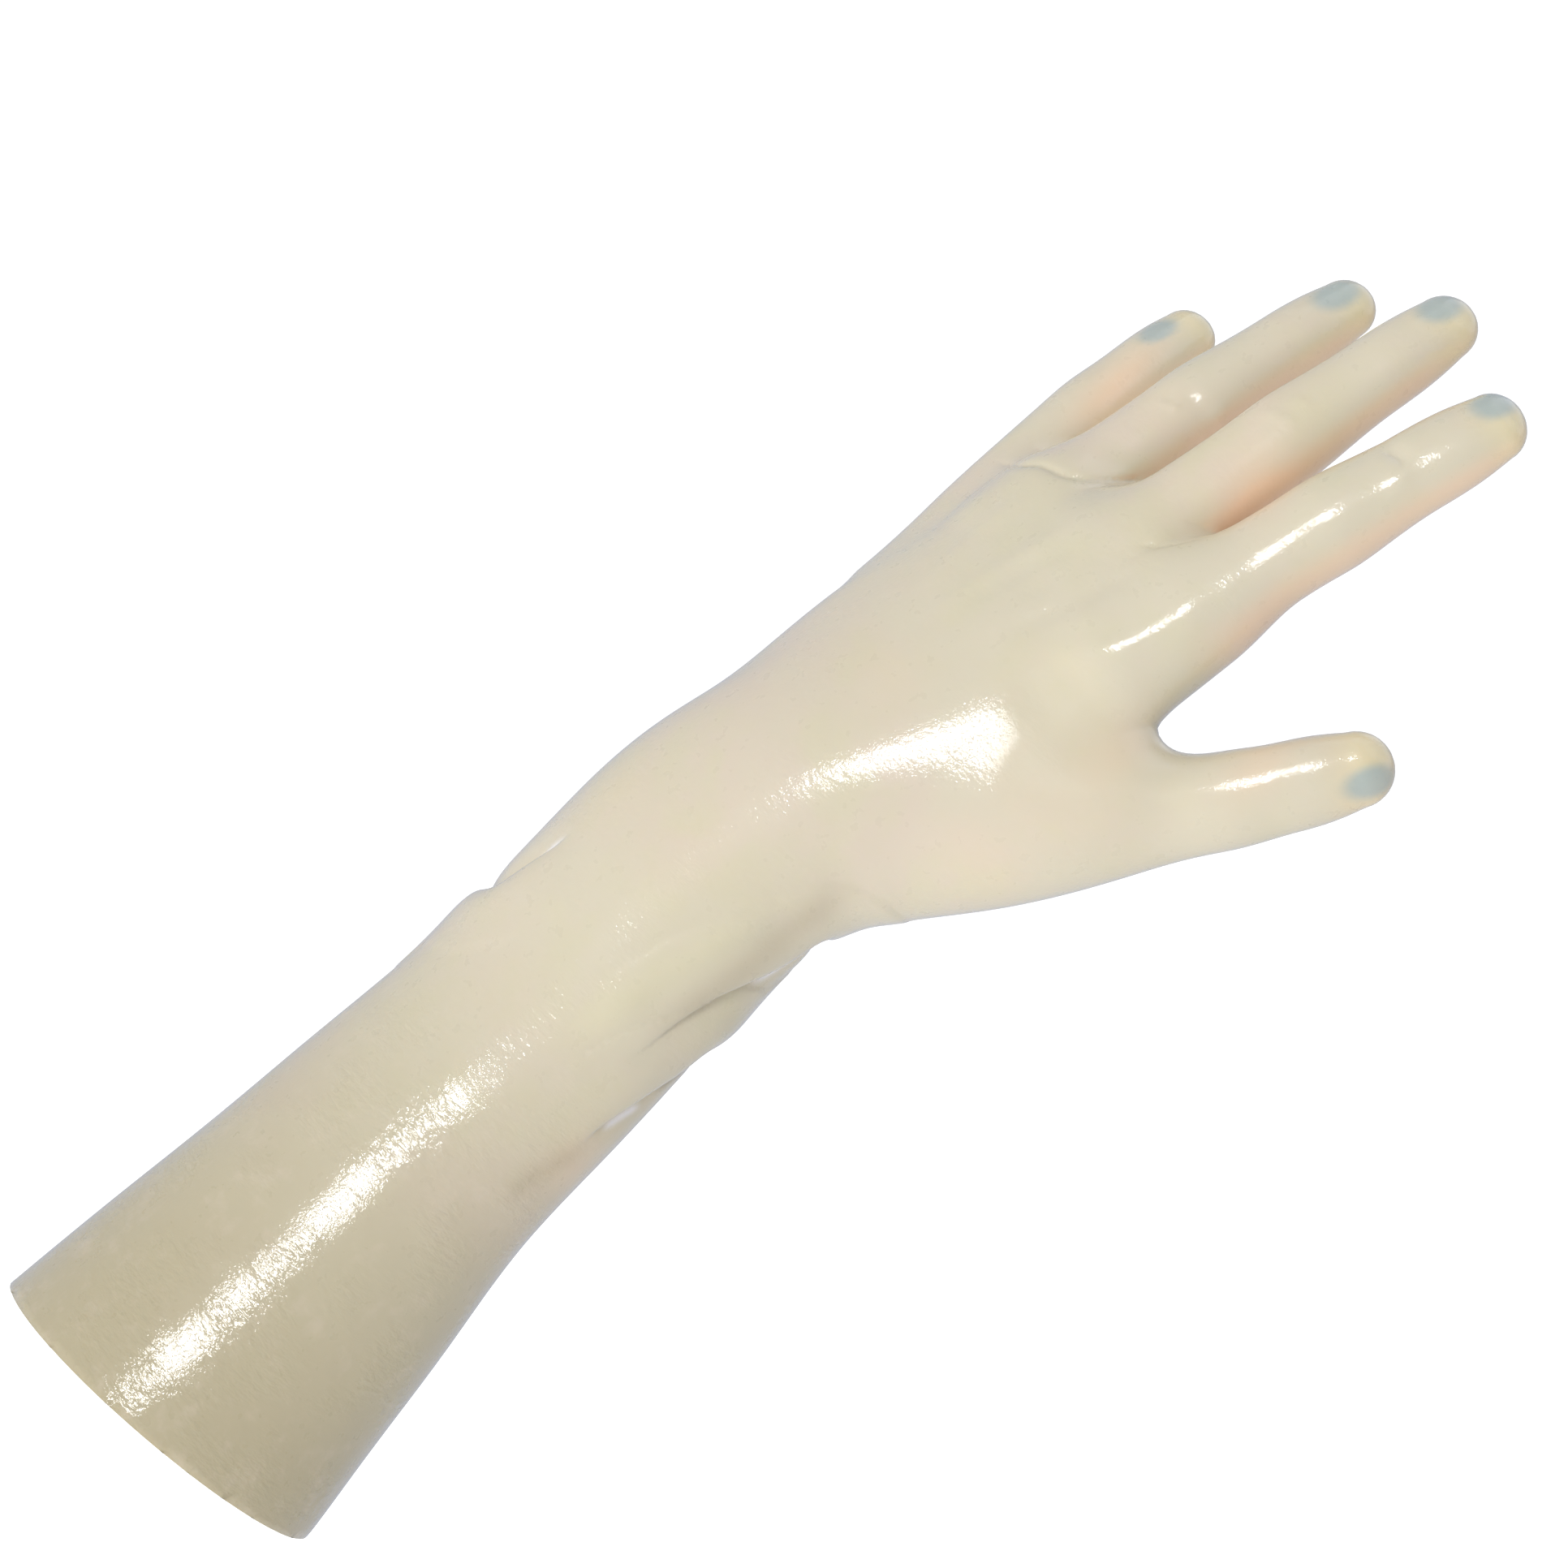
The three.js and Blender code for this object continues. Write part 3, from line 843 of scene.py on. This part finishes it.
# Soft blue-grey spots near the tips of the digits: place in the picture, half length and half width, and the
# turn of the length from the height to the thumb's side, in degrees.
COOL_SPOTS = [
    ((48.3, 346.7), (5.2, 3.6), 30),
    ((26.0, 353.0), (5.2, 3.6), 28),
    ((8.8, 339.5), (5.6, 3.6), 22),
    ((-12.2, 307.5), (4.6, 2.4), 18),
    ((86.5, 272.4), (6.0, 3.4), 28),
]
COOL_CORE, COOL_EDGE = 0.6, 0.75  # shares of a spot's size that are full and that fade
COOL_DEPTH = 7.0  # how far it reaches away from the camera


def cool_tint(points):
    tint = np.zeros(len(points))
    for place, sizes, turn in COOL_SPOTS:
        middle = seen([place])[0]
        rel = points - middle
        across, height = dot(rel, ACROSS_WAY), rel[:, 2]
        angle = math.radians(turn)
        along = across * math.sin(angle) + height * math.cos(angle)
        beside = across * math.cos(angle) - height * math.sin(angle)
        off = np.hypot(along / sizes[0], beside / sizes[1])
        off = np.hypot(off, dot(rel, CAMERA_WAY) / COOL_DEPTH)
        tint = np.maximum(tint, 1 - smooth_step((off - COOL_CORE) / COOL_EDGE))
    return tint


# Peach patches, partly the rubber's own tone and partly painted warm shade and glow in the hollows between
# and beside the digits: place in the picture, half sizes across and up, strength.
PEACH_AND_WARM_SHADE_SPOTS = [
    ((27.0, 298.0), (6.0, 9.0), 0.7),
    ((-10.0, 293.0), (4.5, 13.0), 0.85),
    ((44.0, 240.0), (6.0, 10.0), 0.25),
    ((67.0, 258.0), (5.0, 9.0), 0.4),
    ((40.0, 203.0), (12.0, 7.0), 0.12),
    ((-1.0, 216.0), (8.0, 8.0), 0.12),
    ((-24.0, 160.0), (5.0, 9.0), 0.1),
    ((25.0, 98.0), (6.0, 9.0), 0.3),
    ((60.0, 330.0), (4.0, 14.0), 0.4),
]
# Where the rubber is duller: place in the picture, half sizes across and up, strength.
MATTE_SPOTS = [
    ((19.5, 300.0), (9.0, 22.0), 2.5),
    ((0.5, 296.5), (5.0, 6.0), 1.6),
    ((26.0, 237.5), (11.0, 8.0), 2.5),
    ((44.0, 230.0), (9.0, 8.0), 2.5),
    ((37.5, 222.0), (8.0, 7.0), 2.5),
    ((59.1, 242.1), (4.0, 4.0), 1.5),
    ((-2.5, 158.0), (9.0, 17.0), 0.85),
]
TINT_DEPTH = 14.0  # how far these spots reach away from the camera

TIP_START, TIP_SPREAD = 1.2, 2  # where the yellow tips start before a digit's end, in lengths of its tip

# Painted warm shade on the sides of the fingers that turn away from the light: strength, where it starts and
# over what height it grows. Then how far a side has to be turned to the thumb's side and to the camera, and
# over how much of a turn it grows.
SIDE_SHADE, SIDE_SHADE_START, SIDE_SHADE_GROWTH = 0.75, 256, 20
SIDE_SHADE_TURN, SIDE_SHADE_FACING, SIDE_SHADE_TURN_GROWTH = 0.15, -0.7, 0.6


def tip_tint(points):
    """The yellower tips of the digits."""
    tint = np.zeros(len(points))
    for digit in DIGITS.values():
        beyond = dot(points - digit.end, unit(digit.end - digit.start)) / digit.tip
        near = np.linalg.norm(points - digit.end, axis=1) < 2 * digit.half
        tint = np.maximum(tint, np.where(near, smooth_step((beyond + TIP_START) / TIP_SPREAD), 0))
    return tint


def add_tint(name, values):
    attribute = glove.data.attributes.new(name, "FLOAT", "POINT")
    attribute.data.foreach_set("value", values.astype(np.float32))


def spots_tint(points, spots):
    tint = np.zeros(len(points))
    for place, sizes, strength in spots:
        rel = points - seen([place])[0]
        off = (dot(rel, ACROSS_WAY) / sizes[0]) ** 2 + (rel[:, 2] / sizes[1]) ** 2
        off += (dot(rel, CAMERA_WAY) / TINT_DEPTH) ** 2
        tint += strength * np.exp(-off)
    return np.minimum(tint, 1)


def painted_side_shade(points, normals):
    """Painted warm shade: peach on the sides of the fingers that face away from the light."""
    turned = smooth_step((normals @ ACROSS_WAY - SIDE_SHADE_TURN) / SIDE_SHADE_TURN_GROWTH)
    facing = smooth_step((normals @ CAMERA_WAY - SIDE_SHADE_FACING) / SIDE_SHADE_TURN_GROWTH)
    return SIDE_SHADE * turned * facing * smooth_step((points[:, 2] - SIDE_SHADE_START) / SIDE_SHADE_GROWTH)


TINT_REACH = 2.2  # how far a line's tint is worked out, in its widths
TINT_FADE = 0.3


def line_tint(lines):
    """Tints along lines, where the outer wall's points lay before the folds moved them."""
    tint = np.zeros(len(both))
    for line in lines:
        near, share, across = by_path(unfolded, normals, line_path(line), TINT_REACH * line["width"])
        strength = line["strength"] * fade(share, TINT_FADE, TINT_FADE)
        strength = strength * np.exp(-((across / line["width"]) ** 2))
        tint[near] = np.maximum(tint[near], strength)
    return tint


# Yellower along the ridge of the wrist, darker with painted shade beside it and in the folds, and whitish
# with painted reflections where the folds open.
# Places are in the camera's picture.
YELLOW_LINES = [{"places": [(3, 106), (8, 128), (13, 150), (18, 170)], "width": 4.5, "strength": 1.0}]
# Painted shade: brown laid along the folds and beside the ridge, where shade falls.
FOLD_SHADE_LINES = [
    {"places": [(15.5, 124), (18.5, 140), (21.5, 160), (24.5, 184)], "width": 3.5, "strength": 0.55},
    {"places": [(27.9, 131), (27.8, 128), (27.5, 124.5), (26.8, 120)], "width": 1.4, "strength": 1.3},
    {"places": [(24.0, 104), (23.0, 98), (21.0, 90), (19.5, 80)], "width": 3.0, "strength": 0.5},
]
# Painted reflections: whitish lilac on the far slopes of the folds, where they would mirror the bright room.
FOLD_REFLECTION_LINES = [
    {
        "places": [(29.0, 169.0), (28.2, 164.0), (27.4, 159.5), (26.5, 155.0), (24.8, 149.5)],
        "width": 1.2, "strength": 1.2,
    },
    {"places": [(26.9, 117), (25.6, 111.5), (24.2, 106)], "width": 1.0, "strength": 0.75},
    {"places": [(27.0, 131), (26.3, 126), (25.1, 119), (24.2, 112)], "width": 0.6, "strength": 0.9},
    {
        "places": [(-28.0, 127.5), (-27.0, 131), (-26.4, 136), (-25.8, 141), (-24.9, 146)],
        "width": 1.0, "strength": 0.8,
    },
]

mesh_normals = np.empty(3 * len(both))
glove.data.vertex_normals.foreach_get("vector", mesh_normals)
mesh_normals = mesh_normals.reshape(-1, 3)
add_tint("cool", cool_tint(both))
# Painted warm shade and glow, laid over the rubber's own peach patches.
add_tint("peach_and_warm_shade", np.minimum(spots_tint(both, PEACH_AND_WARM_SHADE_SPOTS) + painted_side_shade(both, mesh_normals), 1))
add_tint("matte", spots_tint(both, MATTE_SPOTS))
add_tint("tip", tip_tint(both))
add_tint("yellow", line_tint(YELLOW_LINES))
# Painted shade in the folds, and painted reflections where they open.
add_tint("painted_fold_shade", line_tint(FOLD_SHADE_LINES))
add_tint("painted_fold_reflection", line_tint(FOLD_REFLECTION_LINES))

# Material


def add_node(tree, kind, inputs=(), **settings):
    """A node with its settings, and its inputs as values or links from other nodes' outputs."""
    node = tree.nodes.new(kind)
    for name, value in settings.items():
        setattr(node, name, value)
    for name, value in dict(inputs).items():
        if isinstance(value, bpy.types.NodeSocket):
            tree.links.new(value, node.inputs[name])
        else:
            node.inputs[name].default_value = value
    return node


def noise(tree, place, size_mm, detail=2.0, rough=0.5):
    """Noise with bumps of about a size."""
    inputs = {"Vector": place, "Scale": 1000 / size_mm, "Detail": detail, "Roughness": rough}
    return add_node(tree, "ShaderNodeTexNoise", inputs).outputs["Fac"]


def ramp(tree, value, low, high):
    inputs = {"Value": value, "From Min": low, "From Max": high}
    return add_node(tree, "ShaderNodeMapRange", inputs, interpolation_type="SMOOTHSTEP").outputs["Result"]


def between(tree, value, low, high, start=0.0, end=1.0):
    """A value that goes from low to high while the given one goes from start to end."""
    inputs = {"Value": value, "From Min": start, "From Max": end, "To Min": low, "To Max": high}
    return add_node(tree, "ShaderNodeMapRange", inputs).outputs["Result"]


def times(tree, value, factor):
    return add_node(tree, "ShaderNodeMath", {0: value, 1: factor}, operation="MULTIPLY").outputs[0]


def blend_colour(tree, share, first, second):
    node = add_node(tree, "ShaderNodeMix", data_type="RGBA")
    tree.links.new(share, node.inputs["Factor"])
    for name, value in (("A", first), ("B", second)):
        socket = next(s for s in node.inputs if s.name == name and s.type == "RGBA")
        if isinstance(value, bpy.types.NodeSocket):
            tree.links.new(value, socket)
        else:
            socket.default_value = (*value, 1)
    return next(s for s in node.outputs if s.type == "RGBA")


def bump(tree, height, distance, under=None):
    node = add_node(tree, "ShaderNodeBump", {"Height": height, "Strength": 1.0, "Distance": distance})
    if under is not None:
        tree.links.new(under, node.inputs["Normal"])
    return node


def attribute(tree, name):
    return add_node(tree, "ShaderNodeAttribute", attribute_name=name).outputs["Fac"]


CREAM = (0.64, 0.58, 0.44)
PINKISH = (0.65, 0.56, 0.445)
YELLOWISH = (0.63, 0.58, 0.41)
CUFF_OLIVE = (0.45, 0.395, 0.255)
# Peach for the rubber's own tone and for the painted warm shade.
PEACH_TONE_AND_SHADE = (0.8, 0.52, 0.34)
TIP_YELLOW = (0.72, 0.62, 0.37)
COOL_GREY = (0.38, 0.44, 0.42)
RIDGE_YELLOW = (0.66, 0.605, 0.42)
# Brown for the painted shade in the folds, and whitish lilac for the painted reflections on their far
# slopes.
FOLD_SHADE_BROWN = (0.36, 0.29, 0.19)
REFLECTION_LILAC = (0.95, 0.93, 1.0)
# A faint painted warm glow where the peach is.
PAINTED_GLOW, PAINTED_GLOW_COLOUR = 0.08, (1.0, 0.66, 0.44, 1)
WAVE_HEIGHT, CRINKLE_HEIGHT, GRAIN_HEIGHT = 0.0001, 0.00026, 0.00007  # metres


def latex_material():
    mat = bpy.data.materials.new("latex")
    mat.use_nodes = True
    tree = mat.node_tree
    bsdf = tree.nodes["Principled BSDF"]
    place = add_node(tree, "ShaderNodeTexCoord").outputs["Object"]
    height = add_node(tree, "ShaderNodeSeparateXYZ", {"Vector": place}).outputs["Z"]

    colour = blend_colour(tree, ramp(tree, noise(tree, place, 34, 2), 0.4, 0.65), CREAM, PINKISH)
    yellow = times(tree, ramp(tree, noise(tree, place, 17, 3), 0.42, 0.68), 0.7)
    colour = blend_colour(tree, yellow, colour, YELLOWISH)
    colour = blend_colour(tree, ramp(tree, height, 0.15, -0.01), colour, CUFF_OLIVE)
    blotch = times(tree, ramp(tree, noise(tree, place, 6, 4, 0.6), 0.5, 0.75), 0.25)
    colour = blend_colour(tree, blotch, colour, PINKISH)
    # Among these tints the peach is partly painted warm shade, the brown is painted shade in the folds, and
    # the whitish lilac is a painted reflection.
    for name, weight, tint in (
        ("peach_and_warm_shade", 0.6, PEACH_TONE_AND_SHADE),
        ("tip", 0.75, TIP_YELLOW),
        ("cool", 0.92, COOL_GREY),
        ("yellow", 0.7, RIDGE_YELLOW),
        ("painted_fold_shade", 0.6, FOLD_SHADE_BROWN),
        ("painted_fold_reflection", 0.9, REFLECTION_LILAC),
    ):
        colour = blend_colour(tree, times(tree, attribute(tree, name), weight), colour, tint)
    tree.links.new(colour, bsdf.inputs["Base Color"])
    # Painted glow: the peach places give off a little warm light, though they are no lamp.
    tree.links.new(times(tree, attribute(tree, "peach_and_warm_shade"), PAINTED_GLOW), bsdf.inputs["Emission Strength"])
    bsdf.inputs["Emission Color"].default_value = PAINTED_GLOW_COLOUR

    rough = between(tree, noise(tree, place, 3, 3), 0.26, 0.36, 0.3, 0.7)
    tree.links.new(rough, bsdf.inputs["Roughness"])

    # The loose cuff is crinkled in patches, and the tight hand only a little. Crinkles lie across the arm.
    flattened = add_node(tree, "ShaderNodeMapping", {"Vector": place, "Scale": (1, 1, 2)}).outputs["Vector"]
    patches = ramp(tree, noise(tree, place, 16, 1), 0.38, 0.6)
    loose = between(tree, height, 1.0, 0.3, 0.085, 0.11)
    crinkles = times(tree, noise(tree, flattened, 2.8, 2), times(tree, loose, patches))
    waves = bump(tree, noise(tree, place, 7, 2), WAVE_HEIGHT)
    crinkled = bump(tree, crinkles, CRINKLE_HEIGHT, waves.outputs[0])
    grain = bump(tree, noise(tree, place, 0.85, 2, 0.6), GRAIN_HEIGHT, crinkled.outputs[0])
    tree.links.new(crinkled.outputs[0], bsdf.inputs["Normal"])
    tree.links.new(grain.outputs[0], bsdf.inputs["Coat Normal"])
    for socket, usual, dull in (("Specular IOR Level", 0.3, 0.04), ("Coat Weight", 1.0, 0.02)):
        tree.links.new(between(tree, attribute(tree, "matte"), usual, dull), bsdf.inputs[socket])
    bsdf.inputs["Coat Roughness"].default_value = 0.05
    bsdf.inputs["Coat IOR"].default_value = 1.52
    bsdf.inputs["Subsurface Weight"].default_value = 0.15
    bsdf.inputs["Subsurface Radius"].default_value = (1.0, 0.7, 0.45)
    bsdf.inputs["Subsurface Scale"].default_value = 0.002
    return mat


glove.data.materials.append(latex_material())
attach(glove, "root")
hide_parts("glove")

# Camera

side_way, back_way, world_up = Vector(ACROSS_WAY), Vector(CAMERA_WAY), Vector(UP)
target = Vector(TARGET) * MM
camera_data = bpy.data.cameras.new("camera")
camera = bpy.data.objects.new("camera", camera_data)
bpy.context.scene.collection.objects.link(camera)
camera_data.angle = 2 * math.atan(HALF_FRAME / CAMERA_DISTANCE)
right = (world_up + side_way).normalized()
up = (world_up - side_way).normalized()
turn = Matrix((right, up, back_way)).transposed().to_4x4()
camera.matrix_world = Matrix.Translation(Vector(CAMERA_PLACE) * MM) @ turn
camera_data.clip_start = 0.05
camera_data.clip_end = 20
bpy.context.scene.camera = camera

# Stage and lights


def floor_material():
    mat = bpy.data.materials.new("floor_paper")
    mat.use_nodes = True
    bsdf = mat.node_tree.nodes["Principled BSDF"]
    bsdf.inputs["Base Color"].default_value = (0.8, 0.8, 0.8, 1)
    bsdf.inputs["Roughness"].default_value = 0.7
    bsdf.inputs["Emission Color"].default_value = (1, 1, 1, 1)
    bsdf.inputs["Emission Strength"].default_value = 1.0
    return mat


FLOOR_HALF, FLOOR_HEIGHT = 8.0, -0.25
floor_mesh = bpy.data.meshes.new("floor")
corners = [(-1, -1), (1, -1), (1, 1), (-1, 1)]
corners = [(x * FLOOR_HALF, y * FLOOR_HALF, FLOOR_HEIGHT) for x, y in corners]
floor_mesh.from_pydata(corners, [], [(0, 1, 2, 3)])
floor = bpy.data.objects.new("floor", floor_mesh)
bpy.context.scene.collection.objects.link(floor)
floor_mesh.materials.append(floor_material())
floor.visible_glossy = False

# The world is white to the camera, a dim even light on the rubber, and bluish grey in its reflections.
world = bpy.data.worlds.new("studio")
bpy.context.scene.world = world
world.use_nodes = True
world_tree = world.node_tree
background = world_tree.nodes["Background"]
background.inputs["Color"].default_value = (1, 1, 1, 1)
background.inputs["Strength"].default_value = 0.21
mirrored = add_node(world_tree, "ShaderNodeBackground", {"Color": (0.5, 0.53, 0.61, 1), "Strength": 1.0})
white = add_node(world_tree, "ShaderNodeBackground", {"Color": (1, 1, 1, 1), "Strength": 1.1})
ray = add_node(world_tree, "ShaderNodeLightPath")
unseen = add_node(world_tree, "ShaderNodeMixShader", {0: ray.outputs["Is Glossy Ray"]})
chosen = add_node(world_tree, "ShaderNodeMixShader", {0: ray.outputs["Is Camera Ray"]})
world_tree.links.new(background.outputs[0], unseen.inputs[1])
world_tree.links.new(mirrored.outputs[0], unseen.inputs[2])
world_tree.links.new(unseen.outputs[0], chosen.inputs[1])
world_tree.links.new(white.outputs[0], chosen.inputs[2])
world_tree.links.new(chosen.outputs[0], world_tree.nodes["World Output"].inputs["Surface"])


def area_light(name, centre, towards, sizes, power):
    data = bpy.data.lights.new(name, "AREA")
    data.shape = "RECTANGLE"
    data.size, data.size_y = sizes
    data.energy = power
    light = bpy.data.objects.new(name, data)
    light.location = centre
    light.rotation_euler = (Vector(towards) - Vector(centre)).to_track_quat("-Z", "Y").to_euler()
    bpy.context.scene.collection.objects.link(light)
    return light


def from_target(turn, rise, distance):
    """A place round the target: turned from the camera to the thumb's side and raised, in degrees."""
    turn, rise = math.radians(turn), math.radians(rise)
    level = back_way * math.cos(turn) + side_way * math.sin(turn)
    return target + distance * (level * math.cos(rise) + world_up * math.sin(rise))


area_light("key", from_target(-25, 8, 5.0), target, (1.5, 0.75), 68)
area_light("top", from_target(0, 90, 2.2), target, (4.0, 4.0), 35).data.color = (0.93, 0.95, 1.0)
fill = area_light("fill", from_target(-50, 25, 1.6), target, (1.2, 1.2), 2.5)
fill.visible_glossy = False

bpy.context.scene.view_settings.view_transform = "Standard"
